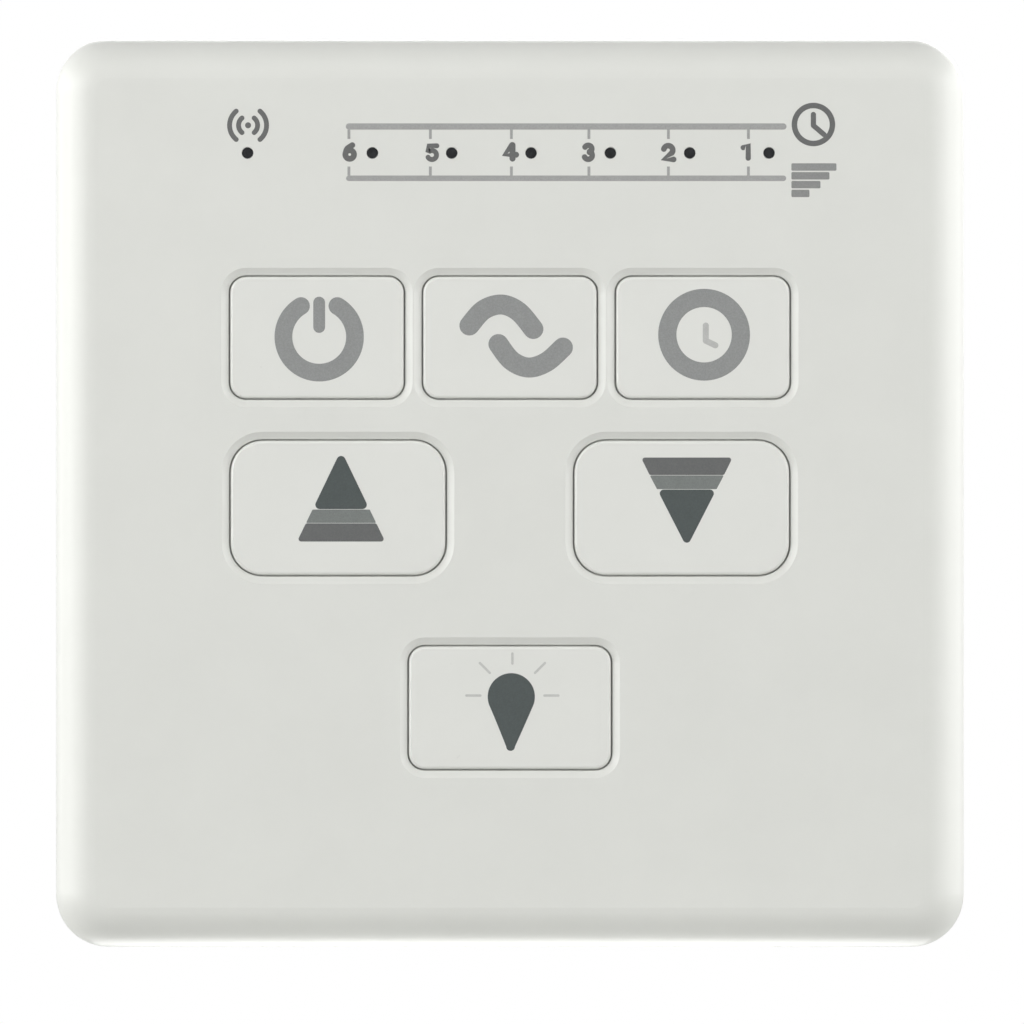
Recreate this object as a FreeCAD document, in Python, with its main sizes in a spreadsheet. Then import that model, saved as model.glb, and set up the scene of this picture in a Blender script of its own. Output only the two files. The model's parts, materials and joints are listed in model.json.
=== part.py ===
import FreeCAD, Part
import math
import os
from types import SimpleNamespace

import Sketcher
from FreeCAD import Placement, Rotation, Vector

# Fan speed control switch: a square plate for the wall with six push keys, a six-step light scale
# and a signal light. X runs to the right, Z up and Y into the wall. The origin is midway between
# the two fixing slots, on the wall's surface. A level is a distance in front of the wall, so it is
# minus Y, and what lies inside the wall box has a negative level.

os.makedirs("parts", exist_ok=True)
doc = FreeCAD.newDocument("fan_speed_switch")

# The driving sizes, in mm.
SIZES = {
    # front cover
    "plate_size": 86,
    "cover_depth": 12.5,
    "front_wall": 2,
    "side_wall": 2,
    "plate_corner": 5,
    "front_edge": 3.8,
    "inner_edge": 1.2,
    "window_lip": 0.7,
    "window_lip_depth": 0.4,
    "key_well_depth": 1.1,
    "key_well_clearance": 0.15,
    "cover_rib": 0.8,
    "cover_rib_depth": 1.2,
    "pry_slot_width": 8,
    "pry_slot_depth": 1.2,
    # keys
    "top_key_width": 16.4,
    "top_key_height": 11.5,
    "top_key_corner": 1.5,
    "top_key_pitch": 18.24,
    "top_key_level": 14.7,
    "speed_key_width": 20.3,
    "speed_key_height": 12.7,
    "speed_key_corner": 3,
    "speed_key_offset": 16.25,
    "speed_key_level": -1.4,
    "light_key_width": 19.1,
    "light_key_height": 11.6,
    "light_key_corner": 1.5,
    "light_key_level": -20.3,
    "key_clearance": 0.15,
    "key_recess": 0.1,
    "key_depth": 3,
    "key_roof": 1.3,
    "key_wall": 1.2,
    "key_edge": 0.3,
    "key_post": 3,
    "key_post_length": 1.2,
    "key_rib": 0.8,
    "key_rib_depth": 0.7,
    "key_flange_reach": 0.7,
    "key_flange_sheet": 1,
    "key_flange_gap": 0.15,
    # tact switches
    "switch_side": 6,
    "switch_corner": 0.4,
    "switch_height": 4.3,
    "switch_base_height": 3,
    "switch_well": 4.4,
    "switch_well_depth": 2,
    "plate_sheet": 0.3,
    "plate_hole": 3.6,
    "strap_sheet": 0.2,
    "strap_width": 2.2,
    "strap_length": 2,
    "plunger_width": 3.4,
    "plunger_flange": 4,
    "plunger_flange_depth": 0.8,
    "plunger_foot": 1.6,
    "dome_width": 4,
    "dome_rise": 0.5,
    "dome_sheet": 0.1,
    "lead_width": 0.7,
    "lead_sheet": 0.2,
    "lead_rise": 0.8,
    "lead_foot": 1.2,
    "lead_spread": 4.5,
    # lights
    "lamp_level": 32.15,
    "level_lamp_first": -13,
    "level_lamp_pitch": 7.5,
    "signal_lamp_place": -24.8,
    "lamp_hole": 1.1,
    "guide_clearance": 0.05,
    "guide_recess": 0.05,
    "guide_bar": 1.2,
    "guide_width": 54,
    "guide_height": 4,
    "guide_corner": 1,
    "baffle_width": 56,
    "baffle_height": 5.2,
    "baffle_corner": 0.8,
    "baffle_cell": 3.2,
    "led_length": 2,
    "led_width": 1.25,
    "led_base": 0.35,
    "led_lens": 0.45,
    "led_lens_length": 1.3,
    "led_lens_bevel": 0.15,
    # control board
    "board_width": 72,
    "board_height": 70,
    "board_place": 1.5,
    "board_corner": 2,
    "board_sheet": 1.6,
    "board_notch": 12,
    "board_notch_height": 14,
    "board_boss": 5,
    "board_boss_across": 31,
    "board_boss_up": 31.5,
    "board_boss_down": 28,
    "chip_length": 12.8,
    "chip_width": 7.5,
    "chip_height": 2.3,
    "chip_place": -8,
    "chip_leg_pitch": 1.27,
    "chip_leg_width": 0.4,
    "chip_leg_reach": 1.4,
    "chip_leg_sheet": 0.3,
    "chip_lift": 0.15,
    "chip_bevel": 0.3,
    "radio_width": 16,
    "radio_height": 12,
    "radio_sheet": 0.8,
    "radio_can_margin": 1,
    "radio_can": 2,
    "radio_across": 20,
    "radio_place": -20.5,
    "antenna_length": 24,
    "antenna_width": 1.8,
    "antenna_sheet": 0.3,
    "antenna_rise": 3,
    "antenna_place": -11.2,
    # screws
    "screw_thread": 2.2,
    "screw_length": 6,
    "board_screw_length": 5,
    "screw_head": 4,
    "screw_head_depth": 1.2,
    "screw_head_bevel": 0.5,
    "screw_slot": 0.6,
    "screw_clearance": 0.15,
    "screw_head_clearance": 0.3,
    "pilot_depth": 5.2,
    # mounting frame
    "frame_sheet": 1.8,
    "frame_clearance": 0.3,
    "rim_wall": 1.4,
    "rim_depth": 3.8,
    "hook_offset": 20,
    "hook_width": 6,
    "hook_reach": 0.6,
    "hook_level": 2.8,
    "hook_depth": 1.2,
    "hook_clearance": 0.2,
    "hook_slit": 1,
    "slot_spacing": 60.3,
    "slot_length": 8,
    "slot_width": 4.2,
    "housing_boss": 5,
    "housing_boss_across": 17,
    "housing_boss_up": 27.4,
    "housing_boss_depth": 5,
    # rear housing
    "housing_side": 48,
    "housing_corner": 3,
    "housing_wall": 1.5,
    "housing_floor": 1.6,
    "housing_depth": 22,
    "housing_edge": 1.2,
    "housing_clearance": 0.4,
    "flange_width": 51.6,
    "flange_height": 61,
    "flange_sheet": 1,
    "flange_clearance": 0.2,
    "vent_width": 1.6,
    "vent_length": 16,
    "vent_pitch": 4,
    "vent_place": 12,
    # power board and what it carries
    "power_board_side": 43,
    "power_board_back": 10.4,
    "power_hole_offset": 18.5,
    "terminal_width": 27,
    "terminal_height": 10,
    "terminal_inset": 0.4,
    "terminal_pitch": 5.08,
    "terminal_gap": 0.4,
    "terminal_well": 3.8,
    "terminal_well_depth": 3.4,
    "terminal_entry": 3.6,
    "terminal_entry_depth": 7,
    "terminal_entry_level": 4.6,
    "cage_clearance": 0.1,
    "cage_wall": 0.5,
    "clamp_screw": 2.2,
    "clamp_screw_head": 3.4,
    "clamp_screw_head_depth": 1.4,
    "clamp_screw_slot": 0.6,
    "transformer_width": 16,
    "transformer_height": 13,
    "transformer_rise": 10,
    "transformer_core": 4,
    "core_height": 10.4,
    "bobbin_width": 14.4,
    "bobbin_flange": 1.2,
    "core_inset": 0.6,
    "winding_width": 10.6,
    "transformer_across": -9.6,
    "transformer_place": 7.5,
    "capacitor_width": 8,
    "capacitor_rise": 10,
    "capacitor_edge": 0.6,
    "capacitor_groove": 0.4,
    "capacitor_groove_rise": 1.8,
    "capacitor_across": 7,
    "capacitor_place": 9,
    "fuse_width": 8.4,
    "fuse_height": 4.2,
    "fuse_rise": 8,
    "fuse_edge": 0.8,
    "fuse_across": -10,
    "fuse_place": -7,
    "rectifier_width": 8.4,
    "rectifier_height": 6.4,
    "rectifier_rise": 3.2,
    "rectifier_edge": 0.5,
    "rectifier_across": 8,
    "rectifier_place": -4,
    "header_ways": 6,
    "header_pitch": 2.54,
    "header_height": 2.5,
    "header_base": 2.5,
    "header_pin": 0.64,
    "header_pin_end": 1,
    "header_place": -15,
    "header_gap": 3,
    "header_hole": 0.9,
    "header_hole_floor": 2,
}

sheet = doc.addObject("Spreadsheet::Sheet", "Sizes")
for row, (alias, number) in enumerate(SIZES.items(), start=1):
    sheet.set(f"A{row}", alias)
    sheet.set(f"B{row}", str(number))
    sheet.setAlias(f"B{row}", alias)
doc.recompute()

# How many there are of what repeats, the two sides of a pair, and a quarter turn.
LEVEL_LAMPS = 6
CHIP_LEGS = 10
VENTS = 6
TERMINAL_WAYS = 5
SIDES = (-1, 1)
QUARTER = math.pi / 2


class Size:
    """A length: its value in mm, and the expression that ties it to the sheet."""

    def __init__(self, value, text):
        self.value = value
        self.text = text

    def __add__(self, other):
        return Size(self.value + other.value, f"({self.text} + {other.text})")

    def __sub__(self, other):
        return Size(self.value - other.value, f"({self.text} - {other.text})")

    def __mul__(self, factor):
        return Size(self.value * factor, f"({self.text} * {factor})")

    def __truediv__(self, factor):
        return Size(self.value / factor, f"({self.text} / {factor})")

    def __neg__(self):
        return self * -1


size = SimpleNamespace(**{alias: Size(float(number), f"Sizes.{alias}") for alias, number in SIZES.items()})
ZERO = Size(0.0, "0")

# Levels shared by pieces that meet, from the wall towards the room.
flange_front = size.frame_sheet
flange_back = flange_front - size.flange_sheet
cover_inside = size.cover_depth - size.front_wall
well_floor = cover_inside + size.key_well_depth
key_face = size.cover_depth - size.key_recess
key_foot = key_face - size.key_depth
key_roof_back = key_face - size.key_roof
switch_tip = key_roof_back - size.key_post_length
board_front = switch_tip - size.switch_height
board_back = board_front - size.board_sheet
switch_top = board_front + size.switch_base_height
switch_floor = switch_top - size.switch_well_depth
guide_back = cover_inside - size.guide_bar
housing_back = -size.housing_depth
power_back = housing_back + size.power_board_back
power_front = power_back + size.board_sheet
header_top = power_front + size.header_base
socket_back = header_top + size.header_gap
terminal_back = housing_back + size.terminal_inset
entry_level = terminal_back + size.terminal_entry_level + size.terminal_entry / 2

# Where the five wire entries stand.
terminal_low = -size.housing_side / 2
terminal_middle = terminal_low + size.terminal_height / 2
terminal_first = size.terminal_pitch * ((1 - TERMINAL_WAYS) / 2)

# Where each key stands, with its width, height and corner.
TOP_KEY = (size.top_key_width, size.top_key_height, size.top_key_corner)
SPEED_KEY = (size.speed_key_width, size.speed_key_height, size.speed_key_corner)
LIGHT_KEY = (size.light_key_width, size.light_key_height, size.light_key_corner)
KEYS = {
    "power": (-size.top_key_pitch, size.top_key_level, TOP_KEY),
    "breeze": (ZERO, size.top_key_level, TOP_KEY),
    "timer": (size.top_key_pitch, size.top_key_level, TOP_KEY),
    "faster": (-size.speed_key_offset, size.speed_key_level, SPEED_KEY),
    "slower": (size.speed_key_offset, size.speed_key_level, SPEED_KEY),
    "light": (ZERO, size.light_key_level, LIGHT_KEY),
}

# Where the screws and the wall slots stand.
BOARD_BOSSES = [(size.board_boss_across * side, size.board_boss_up) for side in SIDES]
BOARD_BOSSES += [(size.board_boss_across * side, -size.board_boss_down) for side in SIDES]
CORNERS = [(side, end) for side in SIDES for end in SIDES]
HOUSING_BOSSES = [(size.housing_boss_across * side, size.housing_boss_up * end) for side, end in CORNERS]
POWER_BOSSES = [(size.power_hole_offset * side, size.power_hole_offset * end) for side, end in CORNERS]
WALL_SLOTS = [(size.slot_spacing * side / 2, ZERO) for side in SIDES]

nodes = []


def new_body(label, x=ZERO, z=ZERO):
    """A body whose own axes start at the place (x, z) on the plate."""
    body = doc.addObject("PartDesign::Body", label)
    body.Label = label
    body.setExpression("Placement.Base.x", x.text)
    body.setExpression("Placement.Base.z", z.text)
    nodes.append(body)
    return body


def new_sketch(body, name, offset, role="XZ_Plane"):
    """A sketch in one of the body's own planes, moved out along the plane's normal."""
    sketch = body.newObject("Sketcher::SketchObject", name)
    plane = next(item for item in body.Origin.OriginFeatures if item.Role == role)
    sketch.AttachmentSupport = [(plane, "")]
    sketch.MapMode = "FlatFace"
    sketch.setExpression("AttachmentOffset.Base.z", offset.text)
    return sketch


def dimension(sketch, kind, length, *points):
    """A driving dimension tied to the sheet."""
    index = sketch.addConstraint(Sketcher.Constraint(kind, *points, length.value))
    sketch.renameConstraint(index, f"size_{index}")
    sketch.setExpression(f"Constraints.size_{index}", length.text)


def rectangle(x, z, width, height, corner=None):
    """An outline: a rectangle about (x, z), with rounded corners where a radius is given."""
    left = x - width / 2
    low = z - height / 2
    radius = corner.value if corner else 0.0

    def draw(sketch):
        x0, x1 = left.value, left.value + width.value
        z0, z1 = low.value, low.value + height.value
        starts = [(x0 + radius, z0), (x1, z0 + radius), (x1 - radius, z1), (x0, z1 - radius)]
        ends = [(x1 - radius, z0), (x1, z1 - radius), (x0 + radius, z1), (x0, z0 + radius)]
        centres = [(x1 - radius, z0 + radius), (x1 - radius, z1 - radius)]
        centres += [(x0 + radius, z1 - radius), (x0 + radius, z0 + radius)]
        sides = []
        for start, end in zip(starts, ends):
            line = Part.LineSegment(Vector(*start, 0), Vector(*end, 0))
            sides.append(sketch.addGeometry(line, False))
        if corner:
            arcs = []
            for turn, centre in enumerate(centres):
                circle = Part.Circle(Vector(*centre, 0), Vector(0, 0, 1), radius)
                begin = (turn - 1) * QUARTER
                arcs.append(sketch.addGeometry(Part.ArcOfCircle(circle, begin, begin + QUARTER), False))
            for turn, arc in enumerate(arcs):
                sketch.addConstraint(Sketcher.Constraint("Tangent", sides[turn], 2, arc, 1))
                sketch.addConstraint(Sketcher.Constraint("Tangent", arc, 2, sides[(turn + 1) % 4], 1))
            for arc in arcs[1:]:
                sketch.addConstraint(Sketcher.Constraint("Equal", arcs[0], arc))
            dimension(sketch, "Radius", corner, arcs[0])
        else:
            for turn in range(4):
                joined = Sketcher.Constraint("Coincident", sides[turn], 2, sides[(turn + 1) % 4], 1)
                sketch.addConstraint(joined)
        for turn, direction in enumerate(("Horizontal", "Vertical", "Horizontal", "Vertical")):
            sketch.addConstraint(Sketcher.Constraint(direction, sides[turn]))
        dimension(sketch, "DistanceX", left, -1, 1, sides[3], 1)
        dimension(sketch, "DistanceY", low, -1, 1, sides[0], 1)
        dimension(sketch, "DistanceX", width, sides[3], 1, sides[1], 1)
        dimension(sketch, "DistanceY", height, sides[0], 1, sides[2], 1)

    return draw


def circle(x, z, width):
    """An outline: a circle about (x, z)."""

    def draw(sketch):
        shape = Part.Circle(Vector(x.value, z.value, 0), Vector(0, 0, 1), width.value / 2)
        index = sketch.addGeometry(shape, False)
        dimension(sketch, "Diameter", width, index)
        dimension(sketch, "DistanceX", x, -1, 1, index, 3)
        dimension(sketch, "DistanceY", z, -1, 1, index, 3)

    return draw


def slot(x, z, width, height):
    """An outline: a slot about (x, z), with round ends on its longer way."""
    upright = height.value > width.value
    radius = (width if upright else height) / 2
    reach = (height if upright else width) / 2 - radius
    turn = QUARTER if upright else 0.0

    def draw(sketch):
        along = Vector(math.cos(turn), math.sin(turn), 0)
        aside = Vector(-math.sin(turn), math.cos(turn), 0)
        pieces = []
        for end in (1, -1):
            centre = Vector(x.value, z.value, 0) + along * (reach.value * end)
            begin = turn - QUARTER * end
            ring = Part.Circle(centre, Vector(0, 0, 1), radius.value)
            pieces.append(sketch.addGeometry(Part.ArcOfCircle(ring, begin, begin + QUARTER * 2), False))
            start = centre + aside * (radius.value * end)
            finish = start - along * (reach.value * 2 * end)
            pieces.append(sketch.addGeometry(Part.LineSegment(start, finish), False))
        for number in range(4):
            following = pieces[(number + 1) % 4]
            sketch.addConstraint(Sketcher.Constraint("Tangent", pieces[number], 2, following, 1))
        sketch.addConstraint(Sketcher.Constraint("Equal", pieces[0], pieces[2]))
        sketch.addConstraint(Sketcher.Constraint("Vertical" if upright else "Horizontal", pieces[1]))
        dimension(sketch, "Radius", radius, pieces[0])
        dimension(sketch, "DistanceY" if upright else "DistanceX", reach * 2, pieces[2], 3, pieces[0], 3)
        dimension(sketch, "DistanceX", x if upright else x - reach, -1, 1, pieces[2], 3)
        dimension(sketch, "DistanceY", z - reach if upright else z, -1, 1, pieces[2], 3)

    return draw


def pad(body, name, offset, length, *outlines, role="XZ_Plane", upside=False):
    """Material between the sketch's level and length further out."""
    sketch = new_sketch(body, name + "_sketch", offset, role)
    for draw in outlines:
        draw(sketch)
    feature = body.newObject("PartDesign::Pad", name)
    feature.Profile = sketch
    feature.Reversed = upside
    feature.setExpression("Length", length.text)
    body.Tip = feature
    return feature


def pocket(body, name, offset, length, *outlines, role="XZ_Plane", outward=False):
    """A cut from the sketch's level inwards, or outwards along its normal."""
    doc.recompute()
    before = body.Tip.Shape.Volume
    sketch = new_sketch(body, name + "_sketch", offset, role)
    for draw in outlines:
        draw(sketch)
    feature = body.newObject("PartDesign::Pocket", name)
    feature.Profile = sketch
    feature.Reversed = outward
    feature.setExpression("Length", length.text)
    body.Tip = feature
    doc.recompute()
    if not feature.Shape.Volume < before:
        raise RuntimeError(f"{body.Label}: {name} cuts nothing")
    return feature


def repeat(body, name, feature, pitch, count, axis="H_Axis"):
    """The feature again, count times in all, at a pitch along its sketch's own axis."""
    pattern = body.newObject("PartDesign::LinearPattern", name)
    pattern.Originals = [feature]
    pattern.Direction = (feature.Profile[0], [axis])
    pattern.setExpression("Length", (pitch * (count - 1)).text)
    pattern.Occurrences = count
    body.Tip = pattern
    return pattern


def edges_at(body, level, reach=None):
    """Names of the tip's edges that lie flat at a level, and within reach of the middle."""
    doc.recompute()
    names = []
    for number, edge in enumerate(body.Tip.Shape.Edges, start=1):
        box = edge.BoundBox
        flat = abs(box.YMin + level.value) < 1e-4 and abs(box.YMax + level.value) < 1e-4
        far = max(abs(box.XMin), abs(box.XMax), abs(box.ZMin), abs(box.ZMax))
        if flat and (reach is None or far < reach.value):
            names.append(f"Edge{number}")
    return names


def round_edges(body, name, radius, edges):
    """Fillets on the tip's named edges."""
    base = body.Tip
    feature = body.newObject("PartDesign::Fillet", name)
    feature.Base = (base, edges)
    feature.setExpression("Radius", radius.text)
    body.Tip = feature


def bevel_edges(body, name, width, edges, depth=None):
    """Chamfers on the tip's named edges, as deep as they are wide unless a depth is given."""
    base = body.Tip
    feature = body.newObject("PartDesign::Chamfer", name)
    feature.Base = (base, edges)
    feature.setExpression("Size", width.text)
    if depth:
        feature.ChamferType = "Two distances"
        feature.setExpression("Size2", depth.text)
    body.Tip = feature


def make_front_cover():
    body = new_body("front_cover")
    plate = rectangle(ZERO, ZERO, size.plate_size, size.plate_size, size.plate_corner)
    pad(body, "block", ZERO, size.cover_depth, plate)
    round_edges(body, "front_edges", size.front_edge, edges_at(body, size.cover_depth))
    inside = size.plate_size - size.side_wall * 2
    hollow = rectangle(ZERO, ZERO, inside, inside, size.plate_corner - size.side_wall)
    pocket(body, "hollow", ZERO, cover_inside, hollow, outward=True)
    bevel_edges(body, "inner_edges", size.inner_edge, edges_at(body, cover_inside))
    windows = []
    for x, z, (width, height, corner) in KEYS.values():
        gap = size.key_clearance * 2
        windows.append(rectangle(x, z, width + gap, height + gap, corner + size.key_clearance))
    pocket(body, "key_windows", size.cover_depth, size.front_wall, *windows)
    edge = (size.key_flange_reach + size.key_well_clearance) * 2
    row_width = size.top_key_pitch * 2 + size.top_key_width + edge
    wells = [rectangle(ZERO, size.top_key_level, row_width, size.top_key_height + edge)]
    for name in ("faster", "slower", "light"):
        x, z, (width, height, corner) = KEYS[name]
        wells.append(rectangle(x, z, width + edge, height + edge, corner + edge / 2))
    pocket(body, "key_wells", cover_inside, size.key_well_depth, *wells, outward=True)
    inner_area = size.plate_size / 2 - size.front_edge - size.window_lip
    lips = edges_at(body, size.cover_depth, inner_area)
    bevel_edges(body, "window_lips", size.window_lip, lips, size.window_lip_depth)
    signal = circle(size.signal_lamp_place, size.lamp_level, size.lamp_hole)
    pocket(body, "signal_hole", size.cover_depth, size.front_wall, signal)
    first = circle(size.level_lamp_first, size.lamp_level, size.lamp_hole)
    hole = pocket(body, "level_hole", size.cover_depth, size.front_wall, first)
    repeat(body, "level_holes", hole, size.level_lamp_pitch, LEVEL_LAMPS)
    bosses = [circle(x, z, size.board_boss) for x, z in BOARD_BOSSES]
    pad(body, "board_bosses", board_front, cover_inside - board_front, *bosses)
    pilots = [circle(x, z, size.screw_thread) for x, z in BOARD_BOSSES]
    pocket(body, "board_pilots", board_front, cover_inside - board_front, *pilots, outward=True)
    speed_top = size.speed_key_level + size.speed_key_height / 2
    speed_low = size.speed_key_level - size.speed_key_height / 2
    upper = (speed_top + size.top_key_level - size.top_key_height / 2) / 2
    lower = (speed_low + size.light_key_level + size.light_key_height / 2) / 2
    ribs = [rectangle(ZERO, middle, inside, size.cover_rib) for middle in (upper, lower)]
    pad(body, "ribs", cover_inside - size.cover_rib_depth, size.cover_rib_depth, *ribs)
    recess_top = size.hook_level + size.hook_depth + size.hook_clearance
    recess_reach = size.hook_reach + size.hook_clearance
    recess_width = size.hook_width + size.hook_clearance * 2
    recess_middle = inside / 2 - size.frame_clearance + recess_reach / 2
    recesses = []
    for side in SIDES:
        for end in SIDES:
            middle = recess_middle * end
            recesses.append(rectangle(size.hook_offset * side, middle, recess_width, recess_reach))
    pocket(body, "hook_recesses", recess_top, size.hook_depth + size.hook_clearance * 2, *recesses)
    pry_reach = size.side_wall + size.frame_clearance
    pry = rectangle(ZERO, -size.plate_size / 2, size.pry_slot_width, pry_reach * 2)
    pocket(body, "pry_slot", ZERO, size.pry_slot_depth, pry, outward=True)


def make_key(name, x, z, width, height, corner):
    body = new_body(f"{name}_key", x, z)
    pad(body, "block", key_foot, size.key_depth, rectangle(ZERO, ZERO, width, height, corner))
    round_edges(body, "face_edges", size.key_edge, edges_at(body, key_face))
    walls = size.key_wall * 2
    hollow = rectangle(ZERO, ZERO, width - walls, height - walls)
    pocket(body, "hollow", key_foot, key_roof_back - key_foot, hollow, outward=True)
    rib_level = key_roof_back - size.key_rib_depth
    long_rib = rectangle(ZERO, ZERO, width - walls, size.key_rib)
    cross_rib = rectangle(ZERO, ZERO, size.key_rib, height - walls)
    pad(body, "long_rib", rib_level, size.key_rib_depth, long_rib)
    pad(body, "cross_rib", rib_level, size.key_rib_depth, cross_rib)
    pad(body, "post", switch_tip, size.key_post_length, circle(ZERO, ZERO, size.key_post))
    reach = size.key_flange_reach * 2
    outside = rectangle(ZERO, ZERO, width + reach, height + reach, corner + size.key_flange_reach)
    flange_level = well_floor - size.key_flange_gap - size.key_flange_sheet
    pad(body, "flange", flange_level, size.key_flange_sheet, outside, hollow)


def make_switch(name, x, z):
    """The tact switch under a key: base, lid, plunger and the snap dome that returns it."""
    base = new_body(f"{name}_switch_base", x, z)
    square = rectangle(ZERO, ZERO, size.switch_side, size.switch_side, size.switch_corner)
    pad(base, "block", board_front, size.switch_base_height, square)
    pocket(base, "well", switch_top, size.switch_well_depth, circle(ZERO, ZERO, size.switch_well))

    lid = new_body(f"{name}_switch_plate", x, z)
    across = size.switch_side + size.strap_sheet * 2
    outline = rectangle(ZERO, ZERO, across, size.switch_side)
    pad(lid, "sheet", switch_top, size.plate_sheet, outline, circle(ZERO, ZERO, size.plate_hole))
    straps = []
    for side in SIDES:
        middle = (size.switch_side / 2 + size.strap_sheet / 2) * side
        straps.append(rectangle(middle, ZERO, size.strap_sheet, size.strap_width))
    pad(lid, "straps", switch_top, size.strap_length, *straps, upside=True)

    plunger = new_body(f"{name}_plunger", x, z)
    flange_level = switch_top - size.plunger_flange_depth
    dome_top = switch_floor + size.dome_rise
    pad(plunger, "flange", flange_level, size.plunger_flange_depth, circle(ZERO, ZERO, size.plunger_flange))
    pad(plunger, "button", switch_top, switch_tip - switch_top, circle(ZERO, ZERO, size.plunger_width))
    pad(plunger, "foot", dome_top, flange_level - dome_top, circle(ZERO, ZERO, size.plunger_foot))
    make_dome(f"{name}_dome", x, z)


def make_dome(label, x, z):
    """A shallow sprung cap, cut from two spheres one sheet apart."""
    rise = size.dome_rise
    half = size.dome_width / 2
    reach = f"(({half.text}) ^ 2 + ({rise.text}) ^ 2) / (2 * {rise.text})"
    shells = []
    for part, less in (("outer", "0"), ("inner", size.dome_sheet.text)):
        ball = doc.addObject("Part::Sphere", f"{label}_{part}")
        ball.setExpression("Radius", f"{reach} - {less}")
        ball.setExpression("Angle1", f"asin(({reach} - {rise.text}) / ({reach} - {less}))")
        ball.Placement = Placement(Vector(0, 0, 0), Rotation(Vector(1, 0, 0), 90))
        ball.setExpression("Placement.Base.x", x.text)
        ball.setExpression("Placement.Base.z", z.text)
        ball.setExpression("Placement.Base.y", f"{reach} - {rise.text} - {switch_floor.text}")
        shells.append(ball)
    dome = doc.addObject("Part::Cut", label)
    dome.Base, dome.Tool = shells
    dome.Label = label
    nodes.append(dome)


def box_between(x0, x1, level0, level1, z0, z1):
    """A box from plain values, between two places across, two levels and two heights."""
    return Part.makeBox(x1 - x0, level1 - level0, z1 - z0, Vector(x0, -level1, z0))


def add_group(label, solids):
    """A node that is a group of like pieces."""
    feature = doc.addObject("Part::Feature", label)
    feature.Shape = Part.makeCompound(solids)
    feature.Label = label
    nodes.append(feature)


def make_switch_leads():
    """Four bent feet for each switch, standing on the board against the switch's sides."""
    level = board_front.value
    inner = size.switch_side.value / 2
    sheet_metal = size.lead_sheet.value
    leads = []
    for x, z, _ in KEYS.values():
        for side in SIDES:
            for end in SIDES:
                z0 = z.value + end * size.lead_spread.value / 2 - size.lead_width.value / 2
                z1 = z0 + size.lead_width.value
                near = x.value + side * inner
                bend = near + side * sheet_metal
                far = near + side * size.lead_foot.value
                low, high = sorted((near, bend))
                riser = box_between(low, high, level, level + size.lead_rise.value, z0, z1)
                low, high = sorted((near, far))
                foot = box_between(low, high, level, level + sheet_metal, z0, z1)
                leads.append(riser.fuse(foot).removeSplitter())
    add_group("switch_leads", leads)


def make_light_guide():
    """A clear bar behind the front wall, with a pin in each lamp hole."""
    body = new_body("light_guide")
    bar = rectangle(ZERO, size.lamp_level, size.guide_width, size.guide_height, size.guide_corner)
    pad(body, "bar", guide_back, size.guide_bar, bar)
    pin = size.lamp_hole - size.guide_clearance * 2
    length = size.front_wall - size.guide_recess
    pad(body, "signal_pin", cover_inside, length, circle(size.signal_lamp_place, size.lamp_level, pin))
    first = pad(body, "level_pin", cover_inside, length, circle(size.level_lamp_first, size.lamp_level, pin))
    repeat(body, "level_pins", first, size.level_lamp_pitch, LEVEL_LAMPS)


def make_light_baffle():
    """The dark block between board and light guide, with a cell round each lamp."""
    body = new_body("light_baffle")
    outline = rectangle(ZERO, size.lamp_level, size.baffle_width, size.baffle_height, size.baffle_corner)
    pad(body, "block", board_front, guide_back - board_front, outline)
    depth = guide_back - board_front
    signal = rectangle(size.signal_lamp_place, size.lamp_level, size.baffle_cell, size.baffle_cell)
    pocket(body, "signal_cell", guide_back, depth, signal)
    first = rectangle(size.level_lamp_first, size.lamp_level, size.baffle_cell, size.baffle_cell)
    cell = pocket(body, "level_cell", guide_back, depth, first)
    repeat(body, "level_cells", cell, size.level_lamp_pitch, LEVEL_LAMPS)


def make_led(label, x):
    body = new_body(label, x, size.lamp_level)
    pad(body, "base", board_front, size.led_base, rectangle(ZERO, ZERO, size.led_length, size.led_width))
    lens = rectangle(ZERO, ZERO, size.led_lens_length, size.led_width)
    pad(body, "lens", board_front + size.led_base, size.led_lens, lens)
    lens_front = board_front + size.led_base + size.led_lens
    bevel_edges(body, "lens_edges", size.led_lens_bevel, edges_at(body, lens_front))


def make_control_board():
    body = new_body("control_board")
    outline = rectangle(ZERO, size.board_place, size.board_width, size.board_height, size.board_corner)
    pad(body, "sheet", board_back, size.board_sheet, outline)
    hole = size.screw_thread + size.screw_clearance * 2
    holes = [circle(x, z, hole) for x, z in BOARD_BOSSES]
    pocket(body, "screw_holes", board_front, size.board_sheet, *holes)
    notches = []
    for side in SIDES:
        edge = size.board_width / 2 * side
        notch = (size.board_notch * 2, size.board_notch_height, size.board_corner)
        notches.append(rectangle(edge, ZERO, *notch))
    pocket(body, "screw_head_notches", board_front, size.board_sheet, *notches)


def make_controller_chip():
    body = new_body("controller_chip", ZERO, size.chip_place)
    lifted = board_front + size.chip_lift
    block = rectangle(ZERO, ZERO, size.chip_length, size.chip_width)
    pad(body, "block", lifted, size.chip_height, block)
    bevel_edges(body, "block_edges", size.chip_bevel, edges_at(body, lifted + size.chip_height))
    first = size.chip_leg_pitch * ((1 - CHIP_LEGS) / 2)
    leg_height = size.chip_width + size.chip_leg_reach * 2
    outline = rectangle(first, ZERO, size.chip_leg_width, leg_height)
    leg = pad(body, "leg", board_front, size.chip_leg_sheet, outline)
    repeat(body, "legs", leg, size.chip_leg_pitch, CHIP_LEGS)


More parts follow.
